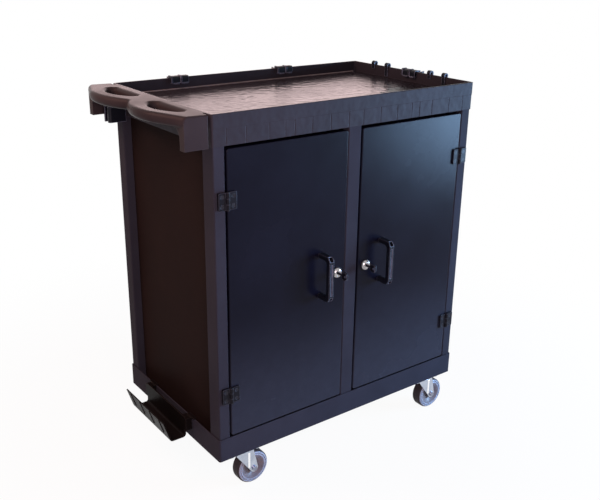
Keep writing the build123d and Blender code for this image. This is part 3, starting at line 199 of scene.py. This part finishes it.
def finish_of(name, colour, tone, rough, grains, depth, edge, edge_colour, waves=25.0, wave_share=0.3,
              metal=0.0, specular=0.5, edge_amount=0.6, edge_full=0.80, cloud_size=9.0,
              floor_reflection=None, floor_reflection_colour=None):
    """One finish: clouded colour and gloss, fine grain, soft edges painted lighter as wear and highlights,
    and a painted floor reflection.

    Grains and waves are counts per metre; depth and edge are in metres.
    """
    paint = bpy.data.materials.new(name)
    paint.use_nodes = True
    nodes, link = paint.node_tree.nodes, paint.node_tree.links.new
    shader = nodes["Principled BSDF"]
    shader.inputs["Metallic"].default_value = metal
    shader.inputs["Specular IOR Level"].default_value = specular
    cloud = nodes.new("ShaderNodeGroup")
    cloud.node_tree = clouding
    cloud.inputs["Size"].default_value = cloud_size
    cloud.inputs["Low"].default_value = rough[0]
    cloud.inputs["High"].default_value = rough[1]
    link(cloud.outputs["Value"], shader.inputs["Roughness"])
    shade = nodes.new("ShaderNodeMix")
    shade.data_type = "RGBA"
    shade.inputs["A"].default_value = (*colour, 1.0)
    shade.inputs["B"].default_value = (*tone, 1.0)
    link(cloud.outputs["Mask"], shade.inputs["Factor"])
    # Edges are painted in edge_colour: rubbed wear, and painted highlights where edges catch the light.
    edge_wear_light = nodes.new("ShaderNodeGroup")
    edge_wear_light.node_tree = worn_and_highlit_edges
    edge_wear_light.inputs["Edge"].default_value = edge
    edge_wear_light.inputs["Amount"].default_value = edge_amount
    edge_wear_light.inputs["Full"].default_value = edge_full
    worn_and_lit = nodes.new("ShaderNodeMix")
    worn_and_lit.data_type = "RGBA"
    worn_and_lit.inputs["B"].default_value = (*edge_colour, 1.0)
    link(edge_wear_light.outputs["Mask"], worn_and_lit.inputs["Factor"])
    link(shade.outputs["Result"], worn_and_lit.inputs["A"])
    # Where asked, the lower part is painted lighter and bluer: a painted reflection of the floor.
    if floor_reflection:
        reflected = nodes.new("ShaderNodeGroup")
        reflected.node_tree = painted_floor_reflection
        reflected.inputs["Low"].default_value, reflected.inputs["High"].default_value = floor_reflection[:2]
        reflected.inputs["Amount"].default_value = floor_reflection[2]
        reflecting = nodes.new("ShaderNodeMix")
        reflecting.data_type = "RGBA"
        reflecting.inputs["B"].default_value = (*floor_reflection_colour, 1.0)
        link(reflected.outputs["Mask"], reflecting.inputs["Factor"])
        link(worn_and_lit.outputs["Result"], reflecting.inputs["A"])
        link(reflecting.outputs["Result"], shader.inputs["Base Color"])
    else:
        link(worn_and_lit.outputs["Result"], shader.inputs["Base Color"])
    skin = nodes.new("ShaderNodeGroup")
    skin.node_tree = grain
    skin.inputs["Grains per metre"].default_value = grains
    skin.inputs["Waves per metre"].default_value = waves
    skin.inputs["Wave share"].default_value = wave_share
    bump = nodes.new("ShaderNodeBump")
    bump.inputs["Strength"].default_value = 1.0
    bump.inputs["Distance"].default_value = depth
    link(skin.outputs["Height"], bump.inputs["Height"])
    link(edge_wear_light.outputs["Normal"], bump.inputs["Normal"])
    link(bump.outputs["Normal"], shader.inputs["Normal"])
    return paint


def dress(paint, *names):
    """Gives a finish to solids of the frame."""
    for name in names:
        solids[name].data.materials.clear()
        solids[name].data.materials.append(paint)


corners = ("front_left", "front_right", "rear_left", "rear_right")
zinc = finish_of("zinc_plate", colour=(0.52, 0.56, 0.65), tone=(0.39, 0.42, 0.49), rough=(0.20, 0.38),
                 grains=900.0, depth=0.00006, edge=0.0008, edge_colour=(0.75, 0.76, 0.80), waves=60.0,
                 metal=1.0, cloud_size=40.0)
dress(zinc, "caster_plates", "king_pins", "caster_bolts")
dress(zinc, *[f"{corner}_fork" for corner in corners])
bolt_steel = finish_of("bolt_steel", colour=(0.27, 0.29, 0.37), tone=(0.19, 0.20, 0.26), rough=(0.24, 0.40),
                       grains=900.0, depth=0.00004, edge=0.0006, edge_colour=(0.62, 0.64, 0.70), waves=60.0,
                       metal=1.0, cloud_size=50.0)
dress(bolt_steel, *[f"{corner}_axle" for corner in corners])

axle_places = {joint["child"][:-6]: Vector(joint["pos_m"]) for joint in frame["joints"]
               if joint["child"].endswith("_wheel")}
# The ribs are painted near white: a painted highlight down each fork leg.
rib_highlight_paint = finish_of("rib_highlight_paint", colour=(0.97, 0.97, 0.98), tone=(0.93, 0.93, 0.95), rough=(0.14, 0.26),
                       grains=900.0, depth=0.00004, edge=0.0006, edge_colour=(0.95, 0.95, 0.97), waves=60.0,
                       metal=1.0, cloud_size=50.0)
rib_width, rib_length, rib_rise, rib_round = 0.0066, 0.046, 0.0016, 0.0014
rib_setback, rib_lift, fork_face = 0.015, 0.029, 0.0198
for corner in corners:
    ribs_mesh = bpy.data.meshes.new(f"{corner}_fork_ribs")
    ribs = bmesh.new()
    for side in (-1, 1):
        start = bmesh.ops.create_grid(ribs, x_segments=1, y_segments=1, size=0.5)["verts"]
        bmesh.ops.scale(ribs, vec=(rib_width, rib_length, 1.0), verts=start)
        bmesh.ops.rotate(ribs, matrix=Matrix.Rotation(math.radians(90.0), 3, "X"), verts=start)
        rib_place = axle_places[corner] + Vector((-rib_setback, side * fork_face, rib_lift))
        bmesh.ops.translate(ribs, vec=rib_place, verts=start)
        plate = start[0].link_faces[0]
        raised = bmesh.ops.extrude_face_region(ribs, geom=[plate])
        crown = [item for item in raised["geom"] if isinstance(item, bmesh.types.BMVert)]
        bmesh.ops.translate(ribs, vec=(0.0, side * rib_rise, 0.0), verts=crown)
        edges = [edge for edge in ribs.edges if all(vert in crown for vert in edge.verts)]
        bmesh.ops.bevel(ribs, geom=edges, offset=rib_round, segments=3, profile=0.5, affect="EDGES",
                        material=-1)
    bmesh.ops.recalc_face_normals(ribs, faces=ribs.faces[:])
    ribs.to_mesh(ribs_mesh)
    ribs.free()
    ribs_mesh.materials.append(rib_highlight_paint)
    fork_ribs = bpy.data.objects.new(f"{corner}_fork_ribs", ribs_mesh)
    bpy.context.scene.collection.objects.link(fork_ribs)
    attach(fork_ribs, f"{corner}_caster")


# Caster wheels: dark rubber tyres on grey hubs, with a paler cover on each side.
# The tyre is moulded round a polypropylene hub that turns on the axle bolt, and the covers
# snap into the hub; the rubber is dull, while the hub and covers keep a low sheen.

tyre_rubber = finish_of("tyre_rubber", colour=(0.040, 0.031, 0.033), tone=(0.027, 0.022, 0.024),
                        rough=(0.50, 0.70), grains=700.0, depth=0.00012, edge=0.0015,
                        edge_colour=(0.16, 0.16, 0.18), waves=90.0, specular=0.12, cloud_size=30.0)
hub_plastic = finish_of("hub_plastic", colour=(0.085, 0.075, 0.080), tone=(0.065, 0.058, 0.062),
                        rough=(0.35, 0.50), grains=1200.0, depth=0.00006, edge=0.001,
                        edge_colour=(0.22, 0.21, 0.22), specular=0.15, cloud_size=40.0)
dress(tyre_rubber, *[f"{corner}_tyre" for corner in corners])
dress(hub_plastic, *[f"{corner}_hub" for corner in corners])

cover_grey = finish_of("cover_grey", colour=(0.30, 0.32, 0.39), tone=(0.22, 0.235, 0.29),
                       rough=(0.28, 0.42), grains=1200.0, depth=0.00006, edge=0.0010,
                       edge_colour=(0.46, 0.47, 0.52), specular=0.3, cloud_size=60.0)
disc_grey = finish_of("disc_grey", colour=(0.185, 0.155, 0.165), tone=(0.130, 0.125, 0.150),
                      rough=(0.30, 0.44), grains=1200.0, depth=0.00006, edge=0.0010,
                      edge_colour=(0.24, 0.22, 0.23), specular=0.2, cloud_size=70.0)
skew = Vector((0.91, 0.17, 0.38))
# The covers' sizes are in millimetres; the outline gives radius and height over the wheel's face.
wheel_half_width, disc_radius, cover_steps = 15.0, 32.8, 56
cover_profile = ((10.6, -2.4), (26.6, -1.4), (28.0, 0.25), (32.6, 0.25), (33.6, 0.9), (36.2, 0.9),
                 (36.8, 0.0), (37.6, 0.0), (38.2, 0.8), (40.0, 0.5), (42.4, -0.9), (41.8, -1.8),
                 (29.4, -1.8), (27.6, -3.2), (10.6, -3.6))
for corner in corners:
    cover_mesh = bpy.data.meshes.new(f"{corner}_wheel_covers")
    cover = bmesh.new()
    for side in (-1, 1):
        outline = [cover.verts.new(axle_places[corner]
                                   + Vector((r / 1000, side * (wheel_half_width + out) / 1000, 0.0)))
                   for r, out in cover_profile]
        loop = [cover.edges.new((outline[i - 1], outline[i])) for i in range(len(outline))]
        bmesh.ops.spin(cover, geom=outline + loop, cent=axle_places[corner], axis=(0.0, 1.0, 0.0),
                       angle=math.tau, steps=cover_steps, use_merge=True)
    bmesh.ops.remove_doubles(cover, verts=cover.verts[:], dist=0.00001)
    bmesh.ops.recalc_face_normals(cover, faces=cover.faces[:])
    # A spin leaves its faces in a new order each run, so they are lined up along a skew direction.
    cover.verts.sort(key=lambda vert: vert.co.dot(skew))
    cover.faces.sort(key=lambda face: face.calc_center_median().dot(skew))
    for face in cover.faces:
        spoke = face.calc_center_median() - axle_places[corner]
        face.material_index = 0 if math.hypot(spoke.x, spoke.z) > disc_radius / 1000 else 1
        face.smooth = True
    cover.to_mesh(cover_mesh)
    cover.free()
    cover_mesh.materials.append(cover_grey)
    cover_mesh.materials.append(disc_grey)
    wheel_covers = bpy.data.objects.new(f"{corner}_wheel_covers", cover_mesh)
    bpy.context.scene.collection.objects.link(wheel_covers)
    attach(wheel_covers, f"{corner}_wheel")


# Base tray: the deep moulding that carries the posts, with a plain upright lip.
# It is black polyethylene with a fine grain, moulded in one piece with round edges,
# and the casters are bolted under its corners.

base_moulding = finish_of("base_moulding", colour=(0.0285, 0.0285, 0.0380), tone=(0.0335, 0.0335, 0.0450),
                          rough=(0.34, 0.46), grains=1800.0, depth=0.00005, edge=0.0018,
                          edge_colour=(0.11, 0.12, 0.16), waves=14.0, wave_share=0.5, edge_amount=0.9,
                          specular=0.004)
dress(base_moulding, "base_tray")


# Cabinet posts: four corner posts and the centre post between the doors.
# They are folded from steel sheet and powder coated black, with a fine orange peel,
# and short screws hold them to the base and the tray.

powder_coat = finish_of("powder_coat", colour=(0.0275, 0.0268, 0.0352), tone=(0.0320, 0.0315, 0.0415),
                        rough=(0.34, 0.46), grains=1300.0, depth=0.00010, edge=0.0012,
                        edge_colour=(0.08, 0.08, 0.10), waves=220.0, wave_share=0.45, specular=0.006,
                        edge_amount=0.5)
dress(powder_coat, *[f"{corner}_post" for corner in corners], "centre_post")
dress(zinc, "post_screws")


# Cabinet sheets and shelf: side panels, back panel, shelf brackets and the shelf.
# The sheets are thin steel with a flat black coat, set back between the posts, their colour painted darker
# and browner than the posts' as the warm shade on the cart's sides; the shelf is a moulding that rests on
# four screwed brackets.

panel_coat = finish_of("panel_coat", colour=(0.0156, 0.0102, 0.0096), tone=(0.0194, 0.0130, 0.0120),
                       rough=(0.42, 0.54), grains=1300.0, depth=0.00010, edge=0.0010,
                       edge_colour=(0.06, 0.05, 0.05), waves=220.0, wave_share=0.45, specular=0.004,
                       cloud_size=4.0)
dress(panel_coat, "left_side_panel", "right_side_panel", "back_panel", "shelf_brackets")
dress(base_moulding, "middle_shelf")
dress(zinc, "shelf_screws")


# Top tray: a shallow moulded well with a rim band and a grooved skirt.
# It is the same black plastic as the base, polished by what is put down on it; it drops over
# the posts, and a pale strip along the back of its gutter is a painted highlight.

tray_moulding = finish_of("tray_moulding", colour=(0.024, 0.022, 0.028), tone=(0.029, 0.026, 0.033),
                          rough=(0.14, 0.22), grains=1500.0, depth=0.00150, edge=0.0014,
                          edge_colour=(0.09, 0.08, 0.09), waves=42.0, wave_share=0.975, edge_amount=0.25,
                          specular=0.05)
side_roughness = 0.5
nodes, link = tray_moulding.node_tree.nodes, tray_moulding.node_tree.links.new
shader = nodes["Principled BSDF"]
polish = shader.inputs["Roughness"].links[0].from_socket
up = nodes.new("ShaderNodeNewGeometry")
height = nodes.new("ShaderNodeSeparateXYZ")
link(up.outputs["Normal"], height.inputs["Vector"])
trodden = nodes.new("ShaderNodeMapRange")
trodden.inputs["From Min"].default_value = 0.5
trodden.inputs["From Max"].default_value = 0.95
link(height.outputs["Z"], trodden.inputs["Value"])
gloss = nodes.new("ShaderNodeMix")
gloss.data_type = "FLOAT"
gloss.inputs["A"].default_value = side_roughness
link(trodden.outputs["Result"], gloss.inputs["Factor"])
link(polish, gloss.inputs["B"])
link(gloss.outputs["Result"], shader.inputs["Roughness"])
dress(tray_moulding, "top_tray")

# A raised pale strip along the gutter's back edge: a painted highlight where that edge catches the light.
strip_length, strip_width, strip_height, strip_round = 0.760, 0.0040, 0.0026, 0.0017
strip_place = (0.0, 0.2309, 0.9299)
tray_deck = 0.931
strip_mesh = bpy.data.meshes.new("gutter_highlight_strip")
strip = bmesh.new()
bmesh.ops.create_grid(strip, x_segments=1, y_segments=1, size=0.5)
bmesh.ops.scale(strip, vec=(strip_length, strip_width, 1.0), verts=strip.verts)
bmesh.ops.translate(strip, vec=strip_place, verts=strip.verts)
raised = bmesh.ops.extrude_face_region(strip, geom=strip.faces[:])
crown = [item for item in raised["geom"] if isinstance(item, bmesh.types.BMVert)]
bmesh.ops.translate(strip, vec=(0.0, 0.0, strip_height), verts=crown)
bmesh.ops.recalc_face_normals(strip, faces=strip.faces[:])
upper = [edge for edge in strip.edges if all(vert.co.z > tray_deck for vert in edge.verts)]
bmesh.ops.bevel(strip, geom=upper, offset=strip_round, segments=3, profile=0.5, affect="EDGES", material=-1)
strip.to_mesh(strip_mesh)
strip.free()
gutter_highlight_strip = bpy.data.objects.new("gutter_highlight_strip", strip_mesh)
bpy.context.scene.collection.objects.link(gutter_highlight_strip)
gutter_highlight_paint = finish_of("gutter_highlight_paint", colour=(0.26, 0.225, 0.225), tone=(0.16, 0.14, 0.14),
                       rough=(0.35, 0.50), grains=1500.0, depth=0.00005, edge=0.0006,
                       edge_colour=(0.32, 0.29, 0.29), waves=60.0, specular=0.2, cloud_size=45.0)
strip_mesh.materials.append(gutter_highlight_paint)
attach(gutter_highlight_strip, "cart")


# Push handle: two finger loops and two cheeks at the left end.
# One glossy moulding, smoothed by hands along the bar,
# held to the rim by screws from inside the tray.

handle_moulding = finish_of("handle_moulding", colour=(0.027, 0.021, 0.023), tone=(0.034, 0.027, 0.029),
                            rough=(0.24, 0.36), grains=1600.0, depth=0.00005, edge=0.0020,
                            edge_colour=(0.13, 0.11, 0.11), waves=16.0, wave_share=0.5, edge_amount=0.6,
                            specular=0.02)
dress(handle_moulding, "push_handle")
dress(zinc, "push_handle_screws")


# Doors: two shallow steel pans that close flush between the posts.
# Each is folded from sheet and powder coated in a deep satin black,
# and its lower part is painted lighter and bluer as a reflection of the floor.

door_coat = finish_of("door_coat", colour=(0.003, 0.003, 0.008), tone=(0.005, 0.005, 0.012),
                      rough=(0.22, 0.30), grains=1300.0, depth=0.00010, edge=0.0012,
                      edge_colour=(0.06, 0.06, 0.07), waves=220.0, wave_share=0.45, specular=0.075,
                      cloud_size=3.0, floor_reflection=(0.16, 0.52, 0.85), floor_reflection_colour=(0.028, 0.031, 0.046))
dress(door_coat, "left_door", "right_door")


# Hinges: four surface hinges, each with two leaves, a pin and its screws.
# The leaves are glossy black mouldings whose knuckles run on a steel pin,
# one leaf screwed to a post and one to a door.

# The leaves' edges are painted pale blue-grey as highlights, and a little as wear.
hinge_moulding = finish_of("hinge_moulding", colour=(0.006, 0.006, 0.009), tone=(0.009, 0.009, 0.013),
                           rough=(0.30, 0.40), grains=1800.0, depth=0.00003, edge=0.0022,
                           edge_colour=(0.14, 0.15, 0.20), waves=14.0, wave_share=0.5, edge_amount=0.7,
                           edge_full=0.86, specular=0.08)
dress(hinge_moulding, "frame_hinge_leaves", "left_door_hinge_leaves", "right_door_hinge_leaves")
screw_black = finish_of("screw_black", colour=(0.010, 0.010, 0.014), tone=(0.016, 0.016, 0.020),
                        rough=(0.30, 0.42), grains=2500.0, depth=0.00003, edge=0.0006,
                        edge_colour=(0.09, 0.09, 0.11), specular=0.14, edge_amount=0.3, cloud_size=90.0)
dress(screw_black, "frame_hinge_screws", "left_door_screws", "right_door_screws", "hinge_pins")


# Pull handles: one bridge handle on each door, beside the lock.
# Each is a glossy black moulding with a grooved grip,
# and screws go through the pockets in its corners.

# Its edges are painted pale blue-grey, strongly, as the highlights they catch.
gloss_moulding = finish_of("gloss_moulding", colour=(0.004, 0.005, 0.009), tone=(0.006, 0.007, 0.012),
                           rough=(0.36, 0.46), grains=1800.0, depth=0.00003, edge=0.0026,
                           edge_colour=(0.22, 0.24, 0.33), waves=14.0, wave_share=0.5, edge_amount=1.5,
                           edge_full=0.90, specular=0.12)
dress(gloss_moulding, "left_pull_handle", "right_pull_handle")


# Locks and keys: a cam lock through each door, with its key in the plug.
# Heads and plugs are polished and chrome plated, nuts and cams are zinc plated,
# and the key has a black moulded head.

lock_chrome = finish_of("lock_chrome", colour=(0.46, 0.44, 0.45), tone=(0.30, 0.28, 0.29),
                        rough=(0.08, 0.18), grains=800.0, depth=0.00002, edge=0.0005,
                        edge_colour=(0.62, 0.60, 0.62), metal=1.0, cloud_size=120.0)
dress(lock_chrome, "left_lock_body", "right_lock_body", "left_lock_plug", "right_lock_plug")
dress(zinc, "left_lock_nut", "right_lock_nut", "left_lock_cam", "right_lock_cam")
dress(gloss_moulding, "left_key", "right_key")


# Rim clips and hooks: three double tool clips and four looped hooks on the rim.
# All are small glossy black mouldings that push down over the rim,
# as is the single clip under the handle.

dress(gloss_moulding, "rim_tool_clips", "rim_hooks", "end_tool_clip")


# Tool rest: a trough on the left side, hooked over the base's lip.
# It is bent from black plastic sheet with four low ribs,
# and its edges are painted a little lighter, as rubbed wear and as highlights.

rest_sheet = finish_of("rest_sheet", colour=(0.006, 0.005, 0.005), tone=(0.009, 0.007, 0.007),
                       rough=(0.30, 0.42), grains=1500.0, depth=0.00005, edge=0.0012,
                       edge_colour=(0.10, 0.075, 0.07), waves=18.0, wave_share=0.5, edge_amount=0.8,
                       specular=0.02)
dress(rest_sheet, "tool_rest")


# Studio: a white sweep of floor, a white surround, and four soft lamps.
# The floor is matt paint that the camera and reflections see as white, most of all far out,
# and it still takes the cart's shadow.

def shown_rays(nodes, link):
    """Marks the rays that see the studio as white: the camera's, reflections, and those through glass."""
    path = nodes.new("ShaderNodeLightPath")
    mirrored = nodes.new("ShaderNodeMath")
    mirrored.operation = "MAXIMUM"
    link(path.outputs["Is Glossy Ray"], mirrored.inputs[0])
    link(path.outputs["Is Transmission Ray"], mirrored.inputs[1])
    shown = nodes.new("ShaderNodeMath")
    shown.operation = "MAXIMUM"
    link(path.outputs["Is Camera Ray"], shown.inputs[0])
    link(mirrored.outputs["Value"], shown.inputs[1])
    return shown.outputs["Value"]


floor_reach, shadow_from, shadow_to, shadow_white = 40.0, 0.5, 1.6, 0.94
floor_mesh = bpy.data.meshes.new("studio_floor")
sweep = bmesh.new()
bmesh.ops.create_grid(sweep, x_segments=2, y_segments=2, size=floor_reach)
sweep.to_mesh(floor_mesh)
sweep.free()
floor = bpy.data.objects.new("studio_floor", floor_mesh)
bpy.context.scene.collection.objects.link(floor)

floor_paint = bpy.data.materials.new("studio_white")
floor_paint.use_nodes = True
nodes, link = floor_paint.node_tree.nodes, floor_paint.node_tree.links.new
matt = nodes["Principled BSDF"]
matt.inputs["Base Color"].default_value = (0.86, 0.86, 0.86, 1.0)
matt.inputs["Roughness"].default_value = 0.9
matt.inputs["Specular IOR Level"].default_value = 0.1
glow = nodes.new("ShaderNodeEmission")
glow.inputs["Color"].default_value = (1.0, 1.0, 1.0, 1.0)
place = nodes.new("ShaderNodeTexCoord")
reach = nodes.new("ShaderNodeVectorMath")
reach.operation = "LENGTH"
link(place.outputs["Object"], reach.inputs[0])
whiter = nodes.new("ShaderNodeMapRange")
whiter.interpolation_type = "SMOOTHSTEP"
whiter.inputs["From Min"].default_value = shadow_from
whiter.inputs["From Max"].default_value = shadow_to
whiter.inputs["To Min"].default_value = shadow_white
whiter.inputs["To Max"].default_value = 1.0
link(reach.outputs["Value"], whiter.inputs["Value"])
seen = nodes.new("ShaderNodeMath")
seen.operation = "MULTIPLY"
link(shown_rays(nodes, link), seen.inputs[0])
link(whiter.outputs["Result"], seen.inputs[1])
blend_floor = nodes.new("ShaderNodeMixShader")
link(seen.outputs["Value"], blend_floor.inputs["Fac"])
link(matt.outputs["BSDF"], blend_floor.inputs[1])
link(glow.outputs["Emission"], blend_floor.inputs[2])
link(blend_floor.outputs["Shader"], nodes["Material Output"].inputs["Surface"])
floor_mesh.materials.append(floor_paint)

world = bpy.data.worlds.new("studio_surround")
bpy.context.scene.world = world
world.use_nodes = True
nodes, link = world.node_tree.nodes, world.node_tree.links.new
dim = nodes["Background"]
dim.inputs["Color"].default_value = (1.0, 0.85, 0.84, 1.0)
dim.inputs["Strength"].default_value = 0.12
bright = nodes.new("ShaderNodeBackground")
bright.inputs["Color"].default_value = (1.0, 1.0, 1.0, 1.0)
bright.inputs["Strength"].default_value = 1.0
pick = nodes.new("ShaderNodeMixShader")
link(shown_rays(nodes, link), pick.inputs["Fac"])
link(dim.outputs["Background"], pick.inputs[1])
link(bright.outputs["Background"], pick.inputs[2])
link(pick.outputs["Shader"], nodes["World Output"].inputs["Surface"])


def softbox(name, place, aim, width, height, power, colour):
    """A soft rectangular lamp that faces a point and isn't seen by the camera."""
    lamp = bpy.data.lights.new(name, "AREA")
    lamp.shape = "RECTANGLE"
    lamp.size = width
    lamp.size_y = height
    lamp.energy = power
    lamp.color = colour
    box = bpy.data.objects.new(name, lamp)
    bpy.context.scene.collection.objects.link(box)
    box.location = place
    box.rotation_euler = (Vector(aim) - Vector(place)).to_track_quat("-Z", "Y").to_euler()
    box.visible_camera = False


softbox("right_softbox", place=(2.05, -1.40, 0.68), aim=(0.25, -0.25, 0.60), width=1.1, height=0.9,
        power=117.0, colour=(0.38, 0.64, 1.0))
softbox("left_softbox", place=(-1.20, 0.40, 1.80), aim=(-0.4, 0.0, 0.8), width=0.8, height=0.8, power=20.0,
        colour=(1.0, 0.58, 0.48))
softbox("front_softbox", place=(-0.85, -1.45, 1.10), aim=(-0.40, -0.24, 0.92), width=0.5, height=0.5,
        power=17.0, colour=(1.0, 0.70, 0.74))
softbox("back_softbox", place=(1.25, 2.60, 1.5), aim=(0.0, 0.0, 0.93), width=2.2, height=1.4, power=19.0,
        colour=(1.0, 0.66, 0.66))


# Camera: the photograph's own place and angle.
# Its place, turn and lens were fitted to the corners of the base, the tray and the posts,
# and it has no shift and no depth of field.

focal_pixels, photo_pixels = 819.488, 600
lens = bpy.data.cameras.new("photo_camera")
lens.sensor_fit = "HORIZONTAL"
lens.sensor_width = 36.0
lens.lens = focal_pixels / photo_pixels * lens.sensor_width
lens.clip_end = 200.0
camera = bpy.data.objects.new("photo_camera", lens)
bpy.context.scene.collection.objects.link(camera)
camera.location = (-1.24268, -1.68399, 1.29446)
camera.rotation_euler = (math.radians(69.3681), math.radians(-0.72916), math.radians(-36.52546))
bpy.context.scene.camera = camera

bpy.context.scene.view_settings.view_transform = "Standard"
